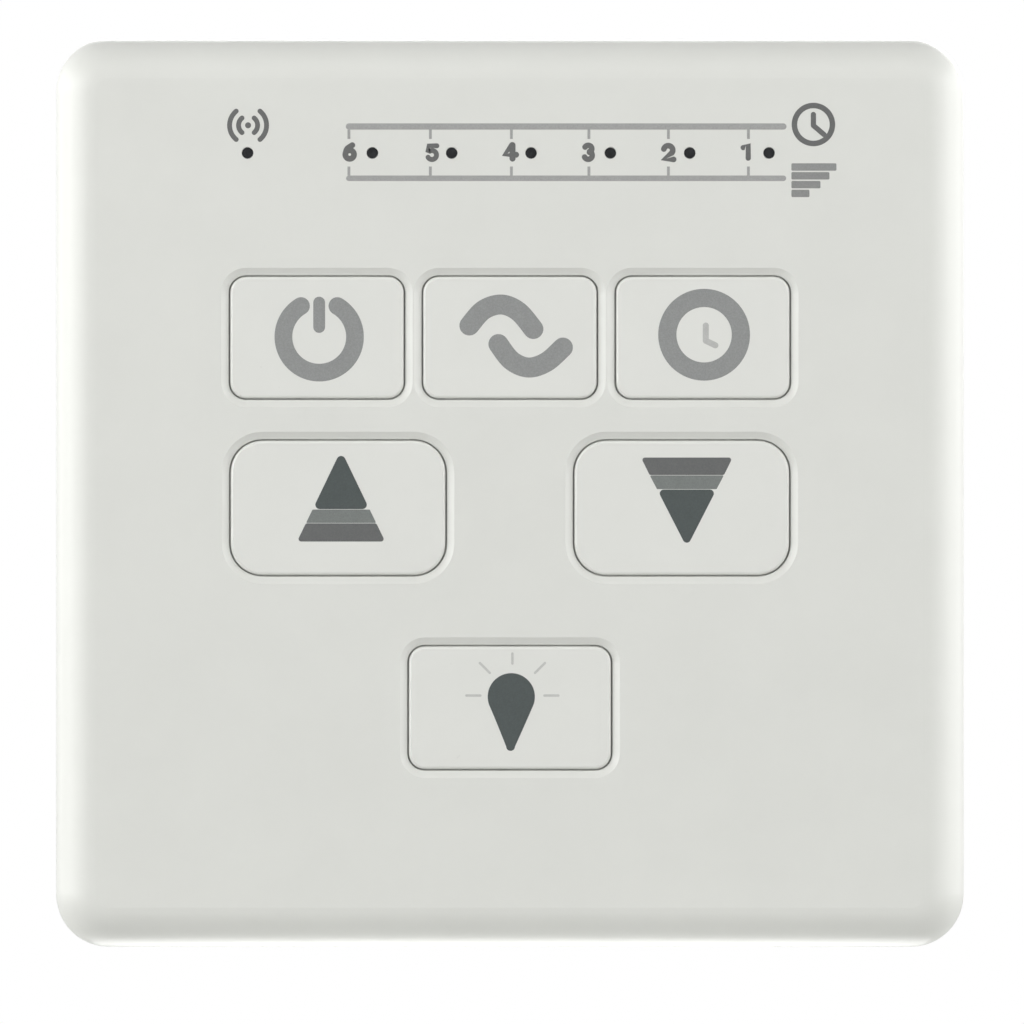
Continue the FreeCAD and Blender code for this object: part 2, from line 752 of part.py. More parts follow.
def make_radio_module():
    body = new_body("radio_module", size.radio_across, size.radio_place)
    outline = rectangle(ZERO, ZERO, size.radio_width, size.radio_height)
    pad(body, "sheet", board_front, size.radio_sheet, outline)
    margin = size.radio_can_margin * 2
    can = rectangle(ZERO, ZERO, size.radio_width - margin, size.radio_height - margin, size.radio_can_margin)
    pad(body, "can", board_front + size.radio_sheet, size.radio_can, can)


def make_antenna():
    """A bent metal strip that stands over the board on two legs."""
    body = new_body("antenna", size.radio_across, size.antenna_place)
    top = board_front + size.antenna_rise - size.antenna_sheet
    strip = rectangle(ZERO, ZERO, size.antenna_length, size.antenna_width)
    pad(body, "strip", top, size.antenna_sheet, strip)
    end = (size.antenna_length - size.antenna_sheet) / 2
    inner = end / 2
    legs = [rectangle(-end, ZERO, size.antenna_sheet, size.antenna_width)]
    legs.append(rectangle(-inner, ZERO, size.antenna_sheet, size.antenna_width))
    pad(body, "legs", board_front, size.antenna_rise - size.antenna_sheet, *legs)


def make_mounting_frame():
    body = new_body("mounting_frame")
    inside = size.plate_size - size.side_wall * 2
    across = inside - size.frame_clearance * 2
    corner = size.plate_corner - size.side_wall - size.frame_clearance
    pad(body, "sheet", ZERO, size.frame_sheet, rectangle(ZERO, ZERO, across, across, corner))
    rim_inside = across - size.rim_wall * 2
    rim = [rectangle(ZERO, ZERO, across, across, corner)]
    rim.append(rectangle(ZERO, ZERO, rim_inside, rim_inside, corner - size.rim_wall))
    pad(body, "rim", size.frame_sheet, size.rim_depth, *rim)
    slit_height = size.rim_wall + size.frame_clearance * 2
    hook_height = size.hook_reach + size.rim_wall / 2
    slits = []
    hooks = []
    for side in SIDES:
        for end in SIDES:
            for flank in SIDES:
                slit_x = size.hook_offset * side + (size.hook_width / 2 + size.hook_slit / 2) * flank
                slit_z = (across / 2 - size.rim_wall / 2) * end
                slits.append(rectangle(slit_x, slit_z, size.hook_slit, slit_height))
            hook_z = (across / 2 + size.hook_reach - hook_height / 2) * end
            hooks.append(rectangle(size.hook_offset * side, hook_z, size.hook_width, hook_height))
    pocket(body, "slits", size.frame_sheet + size.rim_depth, size.rim_depth, *slits)
    pad(body, "hooks", size.hook_level, size.hook_depth, *hooks)
    opening = size.housing_side + size.housing_clearance * 2
    corner = size.housing_corner + size.housing_clearance
    middle = rectangle(ZERO, ZERO, opening, opening, corner)
    pocket(body, "opening", size.frame_sheet, size.frame_sheet, middle)
    gap = size.flange_clearance * 2
    corner = size.housing_corner + size.flange_clearance
    seat = rectangle(ZERO, ZERO, size.flange_width + gap, size.flange_height + gap, corner)
    pocket(body, "flange_seat", size.frame_sheet, size.flange_sheet, seat)
    head_hole = size.screw_head + size.screw_head_clearance * 2
    reliefs = [circle(x, z, head_hole) for x, z in BOARD_BOSSES]
    pocket(body, "screw_head_reliefs", size.frame_sheet, size.frame_sheet, *reliefs)
    slots = [slot(x, z, size.slot_length, size.slot_width) for x, z in WALL_SLOTS]
    pocket(body, "wall_slots", size.frame_sheet, size.frame_sheet, *slots)
    bosses = [circle(x, z, size.housing_boss) for x, z in HOUSING_BOSSES]
    pad(body, "housing_bosses", ZERO, size.housing_boss_depth, *bosses, upside=True)
    pilots = [circle(x, z, size.screw_thread) for x, z in HOUSING_BOSSES]
    pocket(body, "housing_pilots", size.frame_sheet, size.frame_sheet + size.housing_boss_depth, *pilots)


def make_rear_housing():
    body = new_body("rear_housing")
    box = rectangle(ZERO, ZERO, size.housing_side, size.housing_side, size.housing_corner)
    pad(body, "box", housing_back, flange_back - housing_back, box)
    round_edges(body, "back_edges", size.housing_edge, edges_at(body, housing_back))
    flange = rectangle(ZERO, ZERO, size.flange_width, size.flange_height, size.housing_corner)
    pad(body, "flange", flange_back, size.flange_sheet, flange)
    inside = size.housing_side - size.housing_wall * 2
    hollow = rectangle(ZERO, ZERO, inside, inside, size.housing_corner - size.housing_wall)
    floor = housing_back + size.housing_floor
    pocket(body, "hollow", flange_front, flange_front - floor, hollow)
    bosses = [circle(x, z, size.housing_boss) for x, z in POWER_BOSSES]
    pad(body, "power_board_bosses", floor, power_back - floor, *bosses)
    pilots = [circle(x, z, size.screw_thread) for x, z in POWER_BOSSES]
    pocket(body, "power_board_pilots", power_back, size.pilot_depth, *pilots)
    wall_gap = size.terminal_gap * 2
    notch_height = size.terminal_height + wall_gap
    notch_middle = (size.terminal_height - size.housing_side) / 2
    notch = rectangle(ZERO, notch_middle, size.terminal_width + wall_gap, notch_height)
    pocket(body, "terminal_notch", housing_back, power_back - housing_back, notch, outward=True)
    first = size.vent_pitch * ((1 - VENTS) / 2)
    vent = slot(first, size.vent_place, size.vent_width, size.vent_length)
    cut = pocket(body, "vent", floor, size.housing_floor, vent)
    repeat(body, "vents", cut, size.vent_pitch, VENTS)
    holes = [circle(x, z, size.screw_thread + size.screw_clearance * 2) for x, z in HOUSING_BOSSES]
    pocket(body, "screw_holes", flange_front, size.flange_sheet, *holes)
    sink = (size.screw_head - size.screw_thread) / 2
    rims = []
    for number, edge in enumerate(body.Tip.Shape.Edges, start=1):
        box = edge.BoundBox
        flat = abs(box.YMin + flange_front.value) < 1e-4 and abs(box.YMax + flange_front.value) < 1e-4
        if flat and box.XLength < size.screw_head.value and abs(box.ZMin) > inside.value / 2:
            if isinstance(edge.Curve, Part.Circle) and edge.Curve.Radius < size.screw_thread.value:
                rims.append(f"Edge{number}")
    bevel_edges(body, "countersinks", sink, rims)


def revolved_screw(profile, x, level, z, towards):
    """A screw from its half outline, as (radius, distance) points, standing at a place."""
    points = [Vector(radius, 0, along) for radius, along in profile]
    face = Part.Face(Part.makePolygon(points + points[:1]))
    solid = face.revolve(Vector(0, 0, 0), Vector(0, 0, 1), 360)
    solid.Placement = Placement(Vector(x, -level, z), Rotation(Vector(0, 0, 1), Vector(0, towards, 0)))
    return solid


def make_board_screws():
    """Cheese-head screws: four that hold the control board and four that hold the power board."""
    thread = size.screw_thread.value / 2
    head = size.screw_head.value / 2
    deep = size.screw_head_depth.value
    bevel = size.screw_head_bevel.value
    length = size.board_screw_length.value
    tip = thread / 2
    profile = [(0, deep), (head - bevel, deep), (head, deep - bevel), (head, 0)]
    profile += [(thread, 0), (thread, tip - length), (0, -length)]
    screws = []
    for x, z in BOARD_BOSSES:
        screws.append((x.value, board_back.value, z.value, 1))
    for x, z in POWER_BOSSES:
        screws.append((x.value, power_front.value, z.value, -1))
    solids = []
    for x, level, z, towards in screws:
        solid = revolved_screw(profile, x, level, z, towards)
        outer = level - towards * deep
        blade = size.screw_slot.value
        low, high = sorted((outer, outer + towards * deep / 2))
        groove = box_between(x - head, x + head, low, high, z - blade / 2, z + blade / 2)
        solids.append(solid.cut(groove))
    add_group("board_screws", solids)


def make_housing_screws():
    """Countersunk screws through the housing's flange into the frame."""
    thread = size.screw_thread.value / 2
    head = size.screw_head.value / 2
    cone = head - thread
    length = size.screw_length.value
    profile = [(0, 0), (head, 0), (thread, -cone), (thread, thread - length), (0, -length)]
    solids = []
    for x, z in HOUSING_BOSSES:
        solid = revolved_screw(profile, x.value, flange_front.value, z.value, -1)
        top = flange_front.value
        blade = size.screw_slot.value
        low = top - cone / 2
        x0, z0 = x.value, z.value
        groove = box_between(x0 - head, x0 + head, low, top, z0 - blade / 2, z0 + blade / 2)
        solids.append(solid.cut(groove))
    add_group("housing_screws", solids)


def make_power_board():
    body = new_body("power_board")
    outline = rectangle(ZERO, ZERO, size.power_board_side, size.power_board_side, size.board_corner / 2)
    pad(body, "sheet", power_back, size.board_sheet, outline)
    holes = [circle(x, z, size.screw_thread + size.screw_clearance * 2) for x, z in POWER_BOSSES]
    pocket(body, "screw_holes", power_front, size.board_sheet, *holes)


def make_transformer():
    """Winding on a bobbin between the two halves of a ferrite core."""
    body = new_body("transformer", size.transformer_across, size.transformer_place)
    rise = size.transformer_rise
    flange = size.bobbin_flange
    bobbin = rectangle(ZERO, ZERO, size.bobbin_width, size.transformer_height)
    pad(body, "bobbin_foot", power_front, flange, bobbin)
    pad(body, "winding", power_front, rise, circle(ZERO, ZERO, size.winding_width))
    pad(body, "bobbin_head", power_front + rise - flange, flange, bobbin)
    limb_place = (size.transformer_width - size.transformer_core) / 2
    limbs = [rectangle(limb_place * side, ZERO, size.transformer_core, size.core_height) for side in SIDES]
    pad(body, "core", power_front + size.core_inset, rise - size.core_inset * 2, *limbs)


def make_capacitor():
    """An upright round can with a rolled groove and rounded rims."""
    body = new_body("capacitor", size.capacitor_across, size.capacitor_place)
    pad(body, "can", power_front, size.capacitor_rise, circle(ZERO, ZERO, size.capacitor_width))
    top = edges_at(body, power_front + size.capacitor_rise)
    round_edges(body, "rim", size.capacitor_edge, top)
    groove_level = power_front + size.capacitor_groove_rise
    ring = [circle(ZERO, ZERO, size.capacitor_width + size.capacitor_groove)]
    ring.append(circle(ZERO, ZERO, size.capacitor_width - size.capacitor_groove * 2))
    pocket(body, "groove", groove_level, size.capacitor_groove * 2, *ring)


def make_boxed_component(label, x, z, width, height, rise, edge):
    body = new_body(label, x, z)
    pad(body, "block", power_front, rise, rectangle(ZERO, ZERO, width, height, edge))
    bevel_edges(body, "top_edges", edge / 2, edges_at(body, power_front + rise))


def make_pin_header():
    body = new_body("pin_header", ZERO, size.header_place)
    across = size.header_pitch * SIZES["header_ways"]
    pad(body, "base", power_front, size.header_base, rectangle(ZERO, ZERO, across, size.header_height))
    first = size.header_pitch * ((1 - SIZES["header_ways"]) / 2)
    pin = rectangle(first, ZERO, size.header_pin, size.header_pin)
    pin_tip = board_back - size.header_hole_floor - size.header_pin_end
    feature = pad(body, "pin", header_top, pin_tip - header_top, pin)
    repeat(body, "pins", feature, size.header_pitch, SIZES["header_ways"])


def make_header_socket():
    body = new_body("header_socket", ZERO, size.header_place)
    across = size.header_pitch * SIZES["header_ways"]
    depth = board_back - socket_back
    pad(body, "block", socket_back, depth, rectangle(ZERO, ZERO, across, size.header_height))
    first = size.header_pitch * ((1 - SIZES["header_ways"]) / 2)
    hole = rectangle(first, ZERO, size.header_hole, size.header_hole)
    feature = pocket(body, "hole", socket_back, depth - size.header_hole_floor, hole, outward=True)
    repeat(body, "holes", feature, size.header_pitch, SIZES["header_ways"])


def make_terminal_block():
    body = new_body("terminal_block")
    block = rectangle(ZERO, terminal_middle, size.terminal_width, size.terminal_height)
    pad(body, "block", terminal_back, power_back - terminal_back, block)
    bevel_edges(body, "back_edges", size.terminal_inset, edges_at(body, terminal_back))
    well = circle(terminal_first, terminal_middle, size.terminal_well)
    cut = pocket(body, "well", terminal_back, size.terminal_well_depth, well, outward=True)
    repeat(body, "wells", cut, size.terminal_pitch, TERMINAL_WAYS)
    shaft = circle(terminal_first, terminal_middle, size.clamp_screw + size.cage_clearance * 2)
    cut = pocket(body, "shaft", terminal_back, size.terminal_entry_level, shaft, outward=True)
    repeat(body, "shafts", cut, size.terminal_pitch, TERMINAL_WAYS)
    entry = rectangle(terminal_first, -entry_level, size.terminal_entry, size.terminal_entry)
    cut = pocket(
        body, "entry", terminal_low, size.terminal_entry_depth, entry, role="XY_Plane", outward=True
    )
    repeat(body, "entries", cut, size.terminal_pitch, TERMINAL_WAYS)


def make_terminal_clamps():
    """A metal cage in each wire entry, threaded for its screw."""
    gap = size.cage_clearance.value
    wall = size.cage_wall.value
    half = size.terminal_entry.value / 2 - gap
    level = entry_level.value
    z0 = terminal_low.value + wall
    z1 = terminal_low.value + size.terminal_entry_depth.value - gap
    cages = []
    for way in range(TERMINAL_WAYS):
        x = terminal_first.value + way * size.terminal_pitch.value
        cage = box_between(x - half, x + half, level - half, level + half, z0, z1)
        inner = half - wall
        cage = cage.cut(box_between(x - inner, x + inner, level - inner, level + inner, z0, z1))
        radius = size.clamp_screw.value / 2 + gap / 2
        start = Vector(x, -(level - half - gap), terminal_middle.value)
        cage = cage.cut(Part.makeCylinder(radius, wall + gap * 2, start, Vector(0, -1, 0)))
        cages.append(cage)
    add_group("terminal_clamps", cages)


def make_terminal_screws():
    """A slotted screw in each well, its end just inside the cage."""
    radius = size.clamp_screw.value / 2
    head = size.clamp_screw_head.value / 2
    deep = size.clamp_screw_head_depth.value
    seat = terminal_back.value + size.terminal_well_depth.value
    reach = entry_level.value - size.terminal_entry.value / 2 + size.cage_wall.value * 2 - seat
    profile = [(0, deep), (head, deep), (head, 0), (radius, 0), (radius, -reach), (0, -reach)]
    blade = size.clamp_screw_slot.value
    screws = []
    for way in range(TERMINAL_WAYS):
        x = terminal_first.value + way * size.terminal_pitch.value
        z = terminal_middle.value
        screw = revolved_screw(profile, x, seat, z, 1)
        low = seat - deep
        groove = box_between(x - head, x + head, low, low + deep / 2, z - blade / 2, z + blade / 2)
        screws.append(screw.cut(groove))
    add_group("terminal_screws", screws)


make_front_cover()
for key_name, (key_x, key_z, outline_sizes) in KEYS.items():
    make_key(key_name, key_x, key_z, *outline_sizes)
    make_switch(key_name, key_x, key_z)
make_switch_leads()
make_light_guide()
make_light_baffle()
make_led("signal_led", size.signal_lamp_place)
for step in range(LEVEL_LAMPS):
    make_led(f"level_led_{LEVEL_LAMPS - step}", size.level_lamp_first + size.level_lamp_pitch * step)
make_control_board()
make_controller_chip()
make_radio_module()
make_antenna()
make_header_socket()
make_pin_header()
make_mounting_frame()
make_rear_housing()
make_power_board()
make_transformer()
make_capacitor()
make_boxed_component(
    "fuse",
    size.fuse_across,
    size.fuse_place,
    size.fuse_width,
    size.fuse_height,
    size.fuse_rise,
    size.fuse_edge,
)
make_boxed_component(
    "rectifier",
    size.rectifier_across,
    size.rectifier_place,
    size.rectifier_width,
    size.rectifier_height,
    size.rectifier_rise,
    size.rectifier_edge,
)
make_terminal_block()
make_terminal_clamps()
make_terminal_screws()
make_board_screws()
make_housing_screws()

doc.recompute()
for item in doc.Objects:
    if "Invalid" in item.State or "Error" in item.State:
        raise RuntimeError(f"{item.Label} failed: {item.State}")
for node in nodes:
    if node.Shape.isNull() or not node.Shape.isValid():
        raise RuntimeError(f"{node.Label} has no valid shape")
for node in nodes:
    node.Shape.exportStep(f"parts/{node.Label}.step")
    print(node.Label, len(node.Shape.Solids), round(node.Shape.Volume, 2))
print(len(nodes), "nodes")
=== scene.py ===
import json
import math

import bmesh
import bpy
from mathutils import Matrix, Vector


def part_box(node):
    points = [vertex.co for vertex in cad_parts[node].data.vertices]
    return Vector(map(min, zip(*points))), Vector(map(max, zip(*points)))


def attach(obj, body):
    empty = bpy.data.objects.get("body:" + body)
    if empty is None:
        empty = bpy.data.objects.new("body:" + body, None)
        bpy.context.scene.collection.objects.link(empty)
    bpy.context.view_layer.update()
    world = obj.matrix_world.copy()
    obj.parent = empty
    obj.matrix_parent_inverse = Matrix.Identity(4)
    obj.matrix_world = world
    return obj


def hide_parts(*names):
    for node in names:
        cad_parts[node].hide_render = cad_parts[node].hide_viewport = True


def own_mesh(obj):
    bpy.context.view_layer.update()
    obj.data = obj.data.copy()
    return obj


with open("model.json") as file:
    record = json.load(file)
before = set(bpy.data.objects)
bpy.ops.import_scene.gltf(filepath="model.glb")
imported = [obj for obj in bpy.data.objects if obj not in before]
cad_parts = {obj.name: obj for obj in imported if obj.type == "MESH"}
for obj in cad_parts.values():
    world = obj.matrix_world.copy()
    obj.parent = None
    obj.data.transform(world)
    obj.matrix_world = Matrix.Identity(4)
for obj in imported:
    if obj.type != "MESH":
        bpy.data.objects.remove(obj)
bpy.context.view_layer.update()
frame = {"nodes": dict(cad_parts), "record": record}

# Fan speed control switch: materials for the CAD's pieces, the printed signs on the cover and on
# the keys, and the room. The plate faces -Y, with X to the right and Z up.

scene = bpy.context.scene
scene.view_settings.view_transform = "Standard"

MM = 0.001
KEYS = ("power", "breeze", "timer", "faster", "slower", "light")


# Materials


class Surface:
    """A node material under construction."""

    def __init__(self, name):
        self.material = bpy.data.materials.new(name)
        self.material.use_nodes = True
        self.nodes = self.material.node_tree.nodes
        self.links = self.material.node_tree.links
        self.shader = self.nodes["Principled BSDF"]
        self.places = self.nodes.new("ShaderNodeTexCoord").outputs["Object"]
        self.bump = None

    def noise(self, grain, detail=4.0, stretch=(1.0, 1.0, 1.0)):
        """Noise whose grains are about this many mm wide."""
        mapping = self.nodes.new("ShaderNodeMapping")
        mapping.inputs["Scale"].default_value = stretch
        self.links.new(self.places, mapping.inputs["Vector"])
        texture = self.nodes.new("ShaderNodeTexNoise")
        texture.inputs["Scale"].default_value = 1.0 / (grain * MM)
        texture.inputs["Detail"].default_value = detail
        texture.inputs["Roughness"].default_value = 0.6
        self.links.new(mapping.outputs["Vector"], texture.inputs["Vector"])
        return texture.outputs["Fac"]

    def cells(self, grain):
        """Cells about this many mm wide, as a spark-eroded mould leaves them."""
        texture = self.nodes.new("ShaderNodeTexVoronoi")
        texture.inputs["Scale"].default_value = 1.0 / (grain * MM)
        self.links.new(self.places, texture.inputs["Vector"])
        return texture.outputs["Distance"]

    def ramp(self, value, dark, light, low=0.3, high=0.7):
        """Two colours over a range of a value."""
        ramp = self.nodes.new("ShaderNodeValToRGB")
        ramp.color_ramp.elements[0].position = low
        ramp.color_ramp.elements[1].position = high
        ramp.color_ramp.elements[0].color = (*dark, 1.0)
        ramp.color_ramp.elements[1].color = (*light, 1.0)
        self.links.new(value, ramp.inputs["Fac"])
        return ramp.outputs["Color"]

    def spread(self, value, low, high):
        """A value from 0 to 1 laid over another range."""
        node = self.nodes.new("ShaderNodeMapRange")
        node.inputs["To Min"].default_value = low
        node.inputs["To Max"].default_value = high
        self.links.new(value, node.inputs["Value"])
        return node.outputs["Result"]

    def blend(self, factor, first, second, kind="MIX"):
        """Two colours mixed by a factor."""
        node = self.nodes.new("ShaderNodeMix")
        node.data_type = "RGBA"
        node.blend_type = kind
        if isinstance(factor, float):
            node.inputs["Factor"].default_value = factor
        else:
            self.links.new(factor, node.inputs["Factor"])
        for socket, value in ((node.inputs["A"], first), (node.inputs["B"], second)):
            if isinstance(value, tuple):
                socket.default_value = (*value, 1.0)
            else:
                self.links.new(value, socket)
        return node.outputs["Result"]

    def relief(self, height, strength, depth):
        """Bumps of a depth in mm, on top of those already there."""
        node = self.nodes.new("ShaderNodeBump")
        node.inputs["Strength"].default_value = strength
        node.inputs["Distance"].default_value = depth * MM
        self.links.new(height, node.inputs["Height"])
        if self.bump:
            self.links.new(self.bump, node.inputs["Normal"])
        self.bump = node.outputs["Normal"]
        self.links.new(self.bump, self.shader.inputs["Normal"])

    def finish(self, colour, roughness, metallic=0.0, coat=0.0, ior=1.46):
        self.links.new(colour, self.shader.inputs["Base Color"])
        self.links.new(roughness, self.shader.inputs["Roughness"])
        self.shader.inputs["Metallic"].default_value = metallic
        self.shader.inputs["Coat Weight"].default_value = coat
        self.shader.inputs["IOR"].default_value = ior
        return self.material


def tone(colour, factor):
    return tuple(min(1.0, channel * factor) for channel in colour)


def moulded(name, colour, rough, grain=0.22, depth=0.004, mottle=0.02, patch=7.0):
    """Moulded plastic: faint clouds in the colour, uneven gloss and a spark-eroded skin."""
    surface = Surface(name)
    clouds = surface.noise(patch, 3.0)
    colours = surface.ramp(clouds, tone(colour, 1 - mottle), tone(colour, 1 + mottle))
    gloss = surface.spread(surface.noise(patch / 5, 5.0), rough * 0.95, rough * 1.05)
    surface.relief(surface.cells(grain), 0.35, depth)
    surface.relief(surface.noise(grain * 0.6, 3.0), 0.3, depth)
    return surface.finish(colours, gloss)


def metal(name, colour, rough, stretch=(1.0, 1.0, 1.0), grain=0.3, stain=0.12):
    """Rolled or plated metal: drawn lines, dull patches and a little stain."""
    surface = Surface(name)
    lines = surface.noise(grain, 6.0, stretch)
    stains = surface.noise(2.4, 4.0)
    colours = surface.ramp(stains, tone(colour, 1 - stain), tone(colour, 1 + stain / 3))
    gloss = surface.spread(lines, rough * 0.7, rough * 1.4)
    surface.relief(lines, 0.3, 0.003)
    return surface.finish(colours, gloss, metallic=1.0)


TRACK_LENGTH = 5.4
TRACK_PITCH = 1.9
TRACK_SPACING = 0.2


def board_surface(name):
    """Solder resist over copper tracks, with a weave under it."""
    surface = Surface(name)
    tracks = surface.nodes.new("ShaderNodeTexBrick")
    tracks.inputs["Scale"].default_value = 1.0
    tracks.inputs["Brick Width"].default_value = TRACK_LENGTH * MM
    tracks.inputs["Row Height"].default_value = TRACK_PITCH * MM
    tracks.inputs["Mortar Size"].default_value = TRACK_SPACING * MM
    tracks.inputs["Mortar Smooth"].default_value = 0.2
    turn = surface.nodes.new("ShaderNodeMapping")
    turn.inputs["Rotation"].default_value = (math.pi / 2, 0.0, 0.0)
    surface.links.new(surface.places, turn.inputs["Vector"])
    surface.links.new(turn.outputs["Vector"], tracks.inputs["Vector"])
    cloth = surface.noise(0.5, 2.0)
    resist = surface.ramp(cloth, (0.008, 0.085, 0.032), (0.014, 0.13, 0.05))
    colours = surface.blend(tracks.outputs["Fac"], resist, (0.03, 0.24, 0.09))
    gloss = surface.spread(surface.noise(0.9), 0.22, 0.38)
    surface.relief(tracks.outputs["Fac"], 0.5, 0.03)
    return surface.finish(colours, gloss, coat=0.3)


def smoked_surface(name):
    """Dark clear plastic with a polished skin and faint streaks."""
    surface = Surface(name)
    streaks = surface.noise(0.5, 3.0, (1.0, 4.0, 1.0))
    colours = surface.ramp(streaks, (0.010, 0.011, 0.012), (0.026, 0.027, 0.029))
    gloss = surface.spread(surface.noise(0.4), 0.12, 0.24)
    surface.relief(surface.noise(0.3), 0.2, 0.002)
    surface.shader.inputs["Specular IOR Level"].default_value = 0.2
    return surface.finish(colours, gloss, ior=1.4)


def ink(name, colour, spread=0.10):
    """Screen-printed ink: a mesh's faint weave in the colour, and a flat gloss."""
    surface = Surface(name)
    weave = surface.noise(0.12, 2.0)
    clouds = surface.noise(1.1, 3.0)
    fine = surface.ramp(weave, tone(colour, 1 - spread), tone(colour, 1 + spread))
    broad = surface.ramp(clouds, (0.94, 0.94, 0.94), (1.0, 1.0, 1.0))
    colours = surface.blend(1.0, fine, broad, "MULTIPLY")
    gloss = surface.spread(weave, 0.45, 0.62)
    surface.relief(weave, 0.25, 0.004)
    return surface.finish(colours, gloss)


COVER = (0.700, 0.7075, 0.672)
KEY = (0.722, 0.729, 0.694)
FRAME = (0.60, 0.61, 0.58)
BLACK = (0.018, 0.018, 0.019)
PLUNGER = (0.024, 0.024, 0.026)
LAMP_BODY = (0.80, 0.79, 0.74)
FERRITE = (0.050, 0.048, 0.047)
COMPONENT = (0.030, 0.031, 0.034)
TERMINAL = (0.020, 0.16, 0.070)
TIN = (0.62, 0.63, 0.64)
SPRING = (0.55, 0.55, 0.56)
CAN = (0.58, 0.59, 0.61)
BRASS = (0.66, 0.50, 0.24)
SCREW = (0.60, 0.60, 0.58)
SURFACES = {
    "cover_plastic": moulded("cover_plastic", COVER, 0.36, grain=0.20, depth=0.003, mottle=0.012),
    "key_plastic": moulded("key_plastic", KEY, 0.28, grain=0.16, depth=0.002, mottle=0.010),
    "smoked_guide": smoked_surface("smoked_guide"),
    "black_plastic": moulded("black_plastic", BLACK, 0.42, mottle=0.10, patch=2.0),
    "plunger_plastic": moulded("plunger_plastic", PLUNGER, 0.30, mottle=0.10, patch=1.5),
    "tinned_steel": metal("tinned_steel", TIN, 0.34, (6.0, 1.0, 1.0)),
    "spring_steel": metal("spring_steel", SPRING, 0.24, grain=0.15),
    "lamp_body": moulded("lamp_body", LAMP_BODY, 0.30, grain=0.08, mottle=0.03, patch=0.8),
    "circuit_board": board_surface("circuit_board"),
    "frame_plastic": moulded("frame_plastic", FRAME, 0.46, grain=0.30, depth=0.006, mottle=0.02),
    "ferrite": moulded("ferrite", FERRITE, 0.55, grain=0.12, depth=0.010, mottle=0.20, patch=1.5),
    "can_metal": metal("can_metal", CAN, 0.30, (1.0, 1.0, 5.0), stain=0.08),
    "component_plastic": moulded(
        "component_plastic", COMPONENT, 0.40, grain=0.12, mottle=0.12, patch=2.0
    ),
    "terminal_plastic": moulded("terminal_plastic", TERMINAL, 0.40, mottle=0.05, patch=3.0),
    "terminal_brass": metal("terminal_brass", BRASS, 0.33, stain=0.18),
    "screw_steel": metal("screw_steel", SCREW, 0.32, grain=0.2, stain=0.15),
}
INK_SLATE = ink("ink_slate", (0.062, 0.075, 0.074))
INK_DARK = ink("ink_dark", (0.118, 0.122, 0.121))
INK_BAND = ink("ink_band", (0.175, 0.190, 0.182))
INK_GREY = ink("ink_grey", (0.265, 0.272, 0.268))
INK_FINE = ink("ink_fine", (0.125, 0.127, 0.125))
INK_LINE = ink("ink_line", (0.345, 0.348, 0.340))
INK_STEP = ink("ink_step", (0.250, 0.253, 0.248))
INK_HAND = ink("ink_hand", (0.47, 0.475, 0.46), 0.06)
INK_PALE = ink("ink_pale", (0.52, 0.525, 0.505), 0.06)


def finish_nodes(slots):
    """Give every CAD node the material of its slot."""
    for node, part in frame["nodes"].items():
        part.data.materials.clear()
        part.data.materials.append(SURFACES[slots[node]])


def snap_sheet(key):
    """A copy of a switch's snap dome, hung on the housing in place of the dome, which it hides.
    The real dome flattens under its plunger.
    """
    node = f"{key}_dome"
    sheet = bpy.data.objects.new(f"{key}_snap_sheet", frame["nodes"][node].data.copy())
    scene.collection.objects.link(sheet)
    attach(sheet, "housing")
    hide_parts(node)
    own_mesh(sheet)


# Lines and outlines, laid out in the photograph's pixels and turned into mm on the plate's face

FACE_PIXEL = 0.09455
PLATE_ACROSS = 509.5
PLATE_DOWN = 492.5


def spot(across, down):
    """A place on the face in mm, from its place in the photograph's frame."""
    return ((across - PLATE_ACROSS) * FACE_PIXEL, (PLATE_DOWN - down) * FACE_PIXEL)


def spots(*places):
    return [spot(across, down) for across, down in places]


def arc(across, down, radius, begin, end, steps=48):
    """Places along an arc about a place, angles in degrees from the right, turning left."""
    places = []
    for number in range(steps + 1):
        angle = math.radians(begin + (end - begin) * number / steps)
        places.append(spot(across + radius * math.cos(angle), down - radius * math.sin(angle)))
    return places


def smooth(places, steps=10):
    """A smooth line through places, in mm."""
    line = []
    ends = [places[0]] + list(places) + [places[-1]]
    for number in range(1, len(ends) - 2):
        before, start, finish, after = (Vector(ends[number + i]) for i in (-1, 0, 1, 2))
        for step in range(steps):
            t = step / steps
            bend = start * 2 + (finish - before) * t
            bend += (before * 2 - start * 5 + finish * 4 - after) * t * t
            bend += (start * 3 - before - finish * 3 + after) * t * t * t
            line.append(tuple(bend / 2))
    line.append(tuple(places[-1]))
    return line


def round_end(end, toward, half, steps=12):
    """A half circle over a stroke's end."""
    aside = Vector((-toward.y, toward.x))
    cap = []
    for step in range(steps + 1):
        angle = math.pi * step / steps
        across = aside * (-half * math.cos(angle))
        cap.append(end + across + toward * (half * math.sin(angle)))
    return cap


def stroke(line, pixels, closed=False, caps=True):
    """Faces that cover a line with a pen of one width."""
    half = pixels * FACE_PIXEL / 2
    points = [Vector(point) for point in line]
    if closed:
        points = points[:-1]
    count = len(points)
    left, right = [], []
    for number, point in enumerate(points):
        before = points[number - 1] if closed or number else point
        after = points[(number + 1) % count] if closed or number < count - 1 else point
        along = (after - before).normalized()
        aside = Vector((-along.y, along.x)) * half
        left.append(point + aside)
        right.append(point - aside)
    faces = []
    for number in range(count if closed else count - 1):
        following = (number + 1) % count
        faces.append([right[number], right[following], left[following], left[number]])
    if caps and not closed:
        faces.append(round_end(points[0], (points[0] - points[1]).normalized(), half))
        faces.append(round_end(points[-1], (points[-1] - points[-2]).normalized(), half))
    return faces


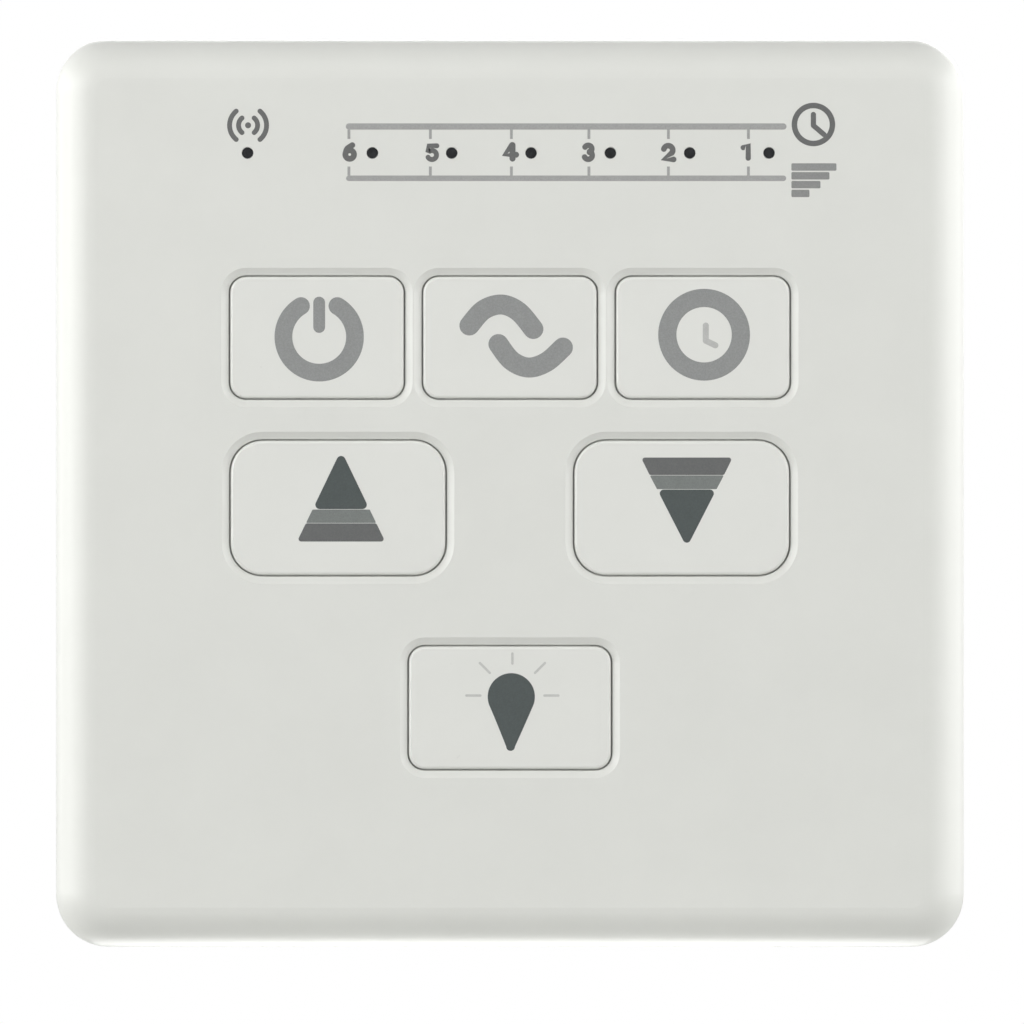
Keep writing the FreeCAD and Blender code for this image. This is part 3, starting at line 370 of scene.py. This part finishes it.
def rounded(corners, pixels, steps=7):
    """An outline with its corners rounded to a radius."""
    radius = pixels * FACE_PIXEL
    points = [Vector(corner) for corner in corners]
    outline = []
    for number, point in enumerate(points):
        back = (points[number - 1] - point).normalized()
        onward = (points[(number + 1) % len(points)] - point).normalized()
        half_angle = back.angle(onward) / 2
        reach = radius / math.tan(half_angle)
        centre = point + (back + onward).normalized() * (radius / math.sin(half_angle))
        start = point + back * reach - centre
        finish = point + onward * reach - centre
        begin = math.atan2(start.y, start.x)
        sweep = math.atan2(start.x * finish.y - start.y * finish.x, start.dot(finish))
        for step in range(steps + 1):
            angle = begin + sweep * step / steps
            outline.append(centre + Vector((math.cos(angle), math.sin(angle))) * radius)
    return [outline]


# Printing

INK_SUNK = 0.003
INK_THICK = 0.012
INK_LIFT = 0.004
SAME_PLACE = 0.0002


def printed(name, faces, face_level, body, material, lift):
    """Ink on a face: flat outlines, a hair thick, the later of two that cross lifted a little."""
    build = bmesh.new()
    level = face_level + INK_SUNK * MM
    for face in faces:
        build.faces.new([build.verts.new((x * MM, level, z * MM)) for x, z in face])
    bmesh.ops.remove_doubles(build, verts=build.verts, dist=SAME_PLACE * MM)
    raised = bmesh.ops.extrude_face_region(build, geom=build.faces[:])
    moved = [item for item in raised["geom"] if isinstance(item, bmesh.types.BMVert)]
    bmesh.ops.translate(build, verts=moved, vec=(0.0, -(INK_SUNK + INK_THICK + lift) * MM, 0.0))
    bmesh.ops.recalc_face_normals(build, faces=build.faces)
    mesh = bpy.data.meshes.new(name)
    build.to_mesh(mesh)
    build.free()
    mesh.materials.append(material)
    piece = bpy.data.objects.new(name, mesh)
    scene.collection.objects.link(piece)
    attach(piece, body)


def on_cover(name, faces, material, lift=0.0):
    face_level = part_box("front_cover")[0][1]
    printed(name, faces, face_level, "housing", material, lift)


def on_key(key, name, faces, material, lift=0.0):
    face_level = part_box(f"{key}_key")[0][1]
    printed(f"{key}_{name}", faces, face_level, f"{key}_key_body", material, lift)


# The scale over the lights

TICKS = (348.5, 430.0, 511.0, 588.5, 668.0, 748.0)
TICK_PEN = 2.8
TICK_TOP_START = 129.1
TICK_TOP_END = 138.5
TICK_LOW_START = 166.0
TICK_LOW_END = 175.0
SCALE_END = 783.0
SCALE_TOP = 126.0
SCALE_TOP_PEN = 6.2
SCALE_LOW = 177.8
SCALE_LOW_PEN = 5.5

# Each numeral's place across and down, and its pen
NUMERALS = {
    "6": (349.3, 151.6, 5.9),
    "5": (431.8, 152.1, 5.0),
    "4": (509.9, 151.2, 6.0),
    "3": (588.4, 151.8, 5.6),
    "2": (668.0, 152.3, 5.7),
    "1": (747.2, 150.7, 5.3),
}

# The strokes of each numeral, in pixels from its place. A row of two is a corner, and a row of
# five is an arc: its middle, its radius and the angles at which it begins and ends.
NUMERAL_STROKES = {
    "6": [[(0.0, 2.4, 4.3, 0, 360)]],
    "5": [[(4.6, -6.8), (-3.6, -6.8), (-4.3, -0.9), (-0.2, 2.4, 4.5, 128, -150)]],
    "4": [[(5.8, 3.0), (-5.6, 3.0), (1.8, -6.6)], [(2.2, -6.6), (2.2, 6.9)]],
    "3": [[(-0.6, -3.4, 3.6, 150, -70)], [(-0.6, 3.0, 4.0, 70, -155)]],
    "2": [[(-0.2, -2.6, 4.5, 165, -38), (-5.0, 6.6), (5.2, 6.6)]],
    "1": [[(-4.4, -3.6), (0.6, -6.8), (0.6, 6.9)]],
}
SIX_TAIL = ((-4.0, 0.8), (-2.4, -3.4), (2.6, -6.9))
NUMERAL_ARC_STEPS = 28


def scale():
    lines = stroke(spots((TICKS[0], SCALE_TOP), (SCALE_END, SCALE_TOP)), SCALE_TOP_PEN)
    lines += stroke(spots((TICKS[0], SCALE_LOW), (SCALE_END, SCALE_LOW)), SCALE_LOW_PEN)
    on_cover("scale_lines", lines, INK_LINE)
    ticks = []
    for across in TICKS:
        upper = spots((across, TICK_TOP_START), (across, TICK_TOP_END))
        lower = spots((across, TICK_LOW_START), (across, TICK_LOW_END))
        ticks += stroke(upper, TICK_PEN, caps=False)
        ticks += stroke(lower, TICK_PEN, caps=False)
    on_cover("scale_ticks", ticks, INK_LINE)


def digit(character, across, down):
    """A numeral's pen strokes about a place."""
    strokes = []
    for rows in NUMERAL_STROKES[character]:
        line = []
        for x, y, *bend in rows:
            if bend:
                line += arc(across + x, down + y, *bend, NUMERAL_ARC_STEPS)
            else:
                line.append(spot(across + x, down + y))
        strokes.append(line)
    if character == "6":
        strokes.append(smooth([spot(across + x, down + y) for x, y in SIX_TAIL]))
    return strokes


def numerals():
    for numeral, (across, down, pen) in NUMERALS.items():
        for turn, line in enumerate(digit(numeral, across, down)):
            closed = numeral == "6" and turn == 0
            faces = stroke(line, pen, closed)
            on_cover(f"numeral_{numeral}_{turn}", faces, INK_FINE, INK_LIFT * turn)


# The sign over the signal light

WAVES_AT = (247.7, 124.8)
WAVE_RADII = (9.5, 18.5)
WAVE_ANGLE = 50
WAVE_PEN = 4.9
WAVE_CENTRE_RADIUS = 3.0


def signal_sign():
    waves = []
    for radius in WAVE_RADII:
        for middle in (0, 180):
            line = arc(*WAVES_AT, radius, middle - WAVE_ANGLE, middle + WAVE_ANGLE, 20)
            waves += stroke(line, WAVE_PEN)
    on_cover("signal_waves", waves, INK_FINE)
    on_cover("signal_centre", [arc(*WAVES_AT, WAVE_CENTRE_RADIUS, 0, 345, 23)], INK_FINE)


# The small clock and the falling bars at the scale's end

CLOCK_AT = (813.0, 124.0)
CLOCK_RADIUS = 19.0
CLOCK_PEN = 5.5
CLOCK_HANDS_MEET = (813.0, 125.0)
CLOCK_HAND_UP = (813.0, 114.0)
CLOCK_HAND_DOWN = (823.5, 134.0)
CLOCK_HAND_PEN = 5.2
BARS_LEFT = 791.0
BAR_ENDS = (836.0, 829.0, 820.0, 809.0)
BARS_TOP = 162.8
BAR_PITCH = 8.8
BAR_HEIGHT = 7.4
BAR_CORNER = 1.2


def clock_sign():
    ring = arc(*CLOCK_AT, CLOCK_RADIUS, 0, 360, 64)
    on_cover("clock_ring", stroke(ring, CLOCK_PEN, closed=True), INK_FINE)
    up = stroke(spots(CLOCK_HANDS_MEET, CLOCK_HAND_UP), CLOCK_HAND_PEN)
    on_cover("clock_hand_up", up, INK_FINE)
    down = stroke(spots(CLOCK_HANDS_MEET, CLOCK_HAND_DOWN), CLOCK_HAND_PEN)
    on_cover("clock_hand_down", down, INK_FINE, INK_LIFT)


def falling_bars():
    for number, right in enumerate(BAR_ENDS):
        top = BARS_TOP + BAR_PITCH * number
        low = top + BAR_HEIGHT
        corners = spots((BARS_LEFT, low), (right, low), (right, top), (BARS_LEFT, top))
        material = INK_GREY if number == 0 else INK_STEP
        on_cover(f"falling_bar_{number + 1}", rounded(corners, BAR_CORNER), material)


# The three small keys

POWER_AT = (318.8, 336.3)
POWER_RADIUS = 35.8
POWER_OPEN = 30.5
POWER_PEN = 17.7
POWER_BAR = ((318.8, 302.0), (318.8, 326.5))
POWER_BAR_PEN = 11.8
BREEZE_UPPER = ((469.0, 325.0), (483.0, 309.5), (501.0, 304.0), (518.0, 311.0), (533.0, 328.5))
BREEZE_LOWER = ((498.0, 343.5), (511.0, 360.0), (528.0, 367.0), (546.0, 361.5), (562.5, 347.0))
BREEZE_PEN = 20.0
TIMER_AT = (703.7, 334.2)
TIMER_RADIUS = 36.8
TIMER_PEN = 18.2
TIMER_HANDS_MEET = (705.4, 340.2)
TIMER_HAND_UP = (705.4, 325.0)
TIMER_HAND_RIGHT = (715.0, 344.8)
TIMER_HAND_PEN = 6.0


def power_sign():
    ring = arc(*POWER_AT, POWER_RADIUS, 90 + POWER_OPEN, 450 - POWER_OPEN, 72)
    on_key("power", "sign_ring", stroke(ring, POWER_PEN), INK_GREY)
    on_key("power", "sign_bar", stroke(spots(*POWER_BAR), POWER_BAR_PEN), INK_GREY)


def breeze_sign():
    upper = stroke(smooth(spots(*BREEZE_UPPER)), BREEZE_PEN)
    lower = stroke(smooth(spots(*BREEZE_LOWER)), BREEZE_PEN)
    on_key("breeze", "sign_upper", upper, INK_GREY)
    on_key("breeze", "sign_lower", lower, INK_GREY)


def timer_sign():
    ring = arc(*TIMER_AT, TIMER_RADIUS, 0, 360, 80)
    on_key("timer", "sign_ring", stroke(ring, TIMER_PEN, closed=True), INK_GREY)
    up = stroke(spots(TIMER_HANDS_MEET, TIMER_HAND_UP), TIMER_HAND_PEN)
    on_key("timer", "sign_hand_up", up, INK_HAND)
    right = stroke(spots(TIMER_HANDS_MEET, TIMER_HAND_RIGHT), TIMER_HAND_PEN)
    on_key("timer", "sign_hand_right", right, INK_HAND, INK_LIFT)


# The speed keys: a triangle, a band and a bar, and the same upside down. Each row holds the
# outline's corners and the corner radius.

SPEED_SIGNS = {
    "faster": {
        "core": (((312.3, 508.6), (369.1, 508.6), (340.7, 449.5)), 4.5),
        "band": (((305.6, 522.4), (375.8, 522.4), (369.3, 509.0), (312.1, 509.0)), 0.8),
        "base": (((296.6, 541.0), (384.8, 541.0), (376.0, 522.8), (305.4, 522.8)), 2.6),
    },
    "slower": {
        "core": (((686.4, 547.0), (716.0, 489.0), (656.8, 489.0)), 4.0),
        "band": (((656.6, 488.6), (716.2, 488.6), (723.4, 474.9), (649.4, 474.9)), 0.8),
        "base": (((649.2, 474.5), (723.6, 474.5), (732.2, 457.0), (640.6, 457.0)), 2.4),
    },
}
SPEED_INKS = {"core": INK_SLATE, "band": INK_BAND, "base": INK_DARK}


def speed_signs():
    for key, shapes in SPEED_SIGNS.items():
        for shape, (corners, corner_radius) in shapes.items():
            outline = rounded(spots(*corners), corner_radius)
            on_key(key, f"sign_{shape}", outline, SPEED_INKS[shape])


# The light key: a lamp with five rays

LAMP_AT = (510.9, 696.2)
LAMP_RADIUS = 23.6
LAMP_LEFT = ((489.7, 706.5), (497.6, 725.5), (505.8, 746.0))
LAMP_RIGHT = ((514.6, 746.0), (523.8, 725.5), (532.1, 706.5))
LAMP_TIP_AT = (510.2, 746.0)
LAMP_TIP_RADIUS = 4.4
RAYS_AT = (512.0, 695.0)
RAYS_START = 32.0
RAYS_END = 46.0
TOP_RAY_END = 42.0
RAY_PEN = 2.4
RAY_ANGLES = (0, 45, 90, 135, 180)


def lamp_sign():
    bulb = arc(*LAMP_AT, LAMP_RADIUS, -26, 206, 40)
    bulb += smooth(spots(*LAMP_LEFT))[1:]
    bulb += arc(*LAMP_TIP_AT, LAMP_TIP_RADIUS, 190, 350, 8)
    bulb += smooth(spots(*LAMP_RIGHT))[:-1]
    on_key("light", "sign_lamp", [bulb], INK_SLATE)
    rays = []
    for angle in RAY_ANGLES:
        away = Vector((math.cos(math.radians(angle)), -math.sin(math.radians(angle))))
        near = Vector(RAYS_AT) + away * RAYS_START
        far = Vector(RAYS_AT) + away * (TOP_RAY_END if angle == 90 else RAYS_END)
        rays += stroke(spots(tuple(near), tuple(far)), RAY_PEN)
    on_key("light", "sign_rays", rays, INK_PALE)


# Room, lights and camera

ORIGIN = (0.0, 0.0, 0.0)

# Each light's place, its width and height, and its power: a weak one from above in front, two at
# each side, and one behind
LIGHTS = {
    "front_light": ((0.0, -2.35, 1.15), (3.2, 2.6), 15.3),
    "left_front_light": ((-0.80, -0.45, 0.04), (1.0, 0.8), 10.1),
    "left_rear_light": ((-0.80, 0.12, 0.04), (1.0, 0.8), 5.2),
    "right_front_light": ((0.80, -0.45, 0.04), (1.0, 0.8), 7.1),
    "right_rear_light": ((0.80, 0.12, 0.04), (1.0, 0.8), 6.6),
    "back_light": ((0.3, 1.3, 0.5), (1.0, 0.8), 9.0),
}

FLOOR_LEVEL = -0.060
FLOOR_HALF = 3.0
FLOOR_COLOUR = (0.45, 0.45, 0.445, 1.0)
FLOOR_ROUGHNESS = 0.9

# The floor shows its shadow by the part, and is all white from some way off
SHADOW_REACH = 0.10
WHITE_FROM = 0.30
WHITE_BY_PART = 0.75

# What a white table gives back to the edge over it
TABLE_GLOW_MIDDLE = 0.003
TABLE_GLOW_SIZE = (0.09, 0.020)
TABLE_GLOW_POWER = 0.0205
TABLE_GLOW_OVER_FLOOR = 0.0015

WORLD_STRENGTH = 0.192
WHITE = (1.0, 1.0, 1.0, 1.0)
CAMERA_PLACE = (0.000199, -1.626, -0.001793)
CAMERA_LENS = 600
CAMERA_FILM = 36
CAMERA_REACH = 50


def area_light(name, place, size, power, aim=ORIGIN):
    data = bpy.data.lights.new(name, "AREA")
    data.shape = "RECTANGLE"
    data.size = size[0]
    data.size_y = size[1]
    data.energy = power
    lamp = bpy.data.objects.new(name, data)
    lamp.location = place
    lamp.rotation_euler = (Vector(aim) - Vector(place)).to_track_quat("-Z", "Y").to_euler()
    scene.collection.objects.link(lamp)
    return lamp


def studio_lights():
    for name, (place, size, power) in LIGHTS.items():
        area_light(name, place, size, power)
    glow_place = (0.0, TABLE_GLOW_MIDDLE, FLOOR_LEVEL + TABLE_GLOW_OVER_FLOOR)
    glow_aim = (0.0, TABLE_GLOW_MIDDLE, 0.0)
    glow = area_light("table_glow", glow_place, TABLE_GLOW_SIZE, TABLE_GLOW_POWER, glow_aim)
    glow.visible_camera = False


def either(nodes, links, first, second):
    """Which of two rays it is, or both."""
    node = nodes.new("ShaderNodeMath")
    node.operation = "MAXIMUM"
    links.new(first, node.inputs[0])
    links.new(second, node.inputs[1])
    return node.outputs[0]


def room():
    """A world that is white where it is seen or reflected, and dimmer as a light."""
    world = bpy.data.worlds.new("room")
    scene.world = world
    world.use_nodes = True
    nodes = world.node_tree.nodes
    links = world.node_tree.links
    rays = nodes.new("ShaderNodeLightPath").outputs
    seen = either(nodes, links, rays["Is Camera Ray"], rays["Is Glossy Ray"])
    seen = either(nodes, links, seen, rays["Is Transmission Ray"])
    strength = nodes.new("ShaderNodeMapRange")
    strength.inputs["To Min"].default_value = WORLD_STRENGTH
    strength.inputs["To Max"].default_value = 1.0
    links.new(seen, strength.inputs["Value"])
    background = nodes["Background"]
    background.inputs["Color"].default_value = WHITE
    links.new(strength.outputs["Result"], background.inputs["Strength"])


def floor_surface():
    """Matt and pale near the part, so that its shadow shows, and white further off."""
    material = bpy.data.materials.new("floor")
    material.use_nodes = True
    nodes = material.node_tree.nodes
    links = material.node_tree.links
    matte = nodes["Principled BSDF"]
    matte.inputs["Base Color"].default_value = FLOOR_COLOUR
    matte.inputs["Roughness"].default_value = FLOOR_ROUGHNESS
    matte.inputs["Specular IOR Level"].default_value = 0.0
    glow = nodes.new("ShaderNodeEmission")
    glow.inputs["Strength"].default_value = 1.0
    reach = nodes.new("ShaderNodeVectorMath")
    reach.operation = "LENGTH"
    links.new(nodes.new("ShaderNodeTexCoord").outputs["Object"], reach.inputs[0])
    share = nodes.new("ShaderNodeMapRange")
    share.inputs["From Min"].default_value = SHADOW_REACH
    share.inputs["From Max"].default_value = WHITE_FROM
    share.inputs["To Min"].default_value = WHITE_BY_PART
    links.new(reach.outputs["Value"], share.inputs["Value"])
    whole = nodes.new("ShaderNodeMath")
    whole.operation = "MULTIPLY"
    links.new(nodes.new("ShaderNodeLightPath").outputs["Is Camera Ray"], whole.inputs[0])
    links.new(share.outputs["Result"], whole.inputs[1])
    mix = nodes.new("ShaderNodeMixShader")
    links.new(whole.outputs[0], mix.inputs["Fac"])
    links.new(matte.outputs["BSDF"], mix.inputs[1])
    links.new(glow.outputs["Emission"], mix.inputs[2])
    links.new(mix.outputs["Shader"], nodes["Material Output"].inputs["Surface"])
    return material


def pale_floor():
    mesh = bpy.data.meshes.new("floor")
    corners = []
    for x, y in ((-1, -1), (1, -1), (1, 1), (-1, 1)):
        corners.append((x * FLOOR_HALF, y * FLOOR_HALF, FLOOR_LEVEL))
    mesh.from_pydata(corners, [], [(0, 1, 2, 3)])
    mesh.materials.append(floor_surface())
    floor = bpy.data.objects.new("floor", mesh)
    scene.collection.objects.link(floor)


def photo_camera():
    """Straight in front, far off, as the photograph was taken."""
    data = bpy.data.cameras.new("camera")
    data.lens = CAMERA_LENS
    data.sensor_width = CAMERA_FILM
    data.clip_end = CAMERA_REACH
    camera = bpy.data.objects.new("camera", data)
    camera.location = CAMERA_PLACE
    camera.rotation_euler = (math.pi / 2, 0.0, 0.0)
    scene.collection.objects.link(camera)
    scene.camera = camera


material_slots = {row["node"]: row["material_slot"] for row in frame["record"]["subparts"]}
finish_nodes(material_slots)
for key in KEYS:
    snap_sheet(key)
scale()
numerals()
signal_sign()
clock_sign()
falling_bars()
power_sign()
breeze_sign()
timer_sign()
speed_signs()
lamp_sign()
studio_lights()
room()
pale_floor()
photo_camera()
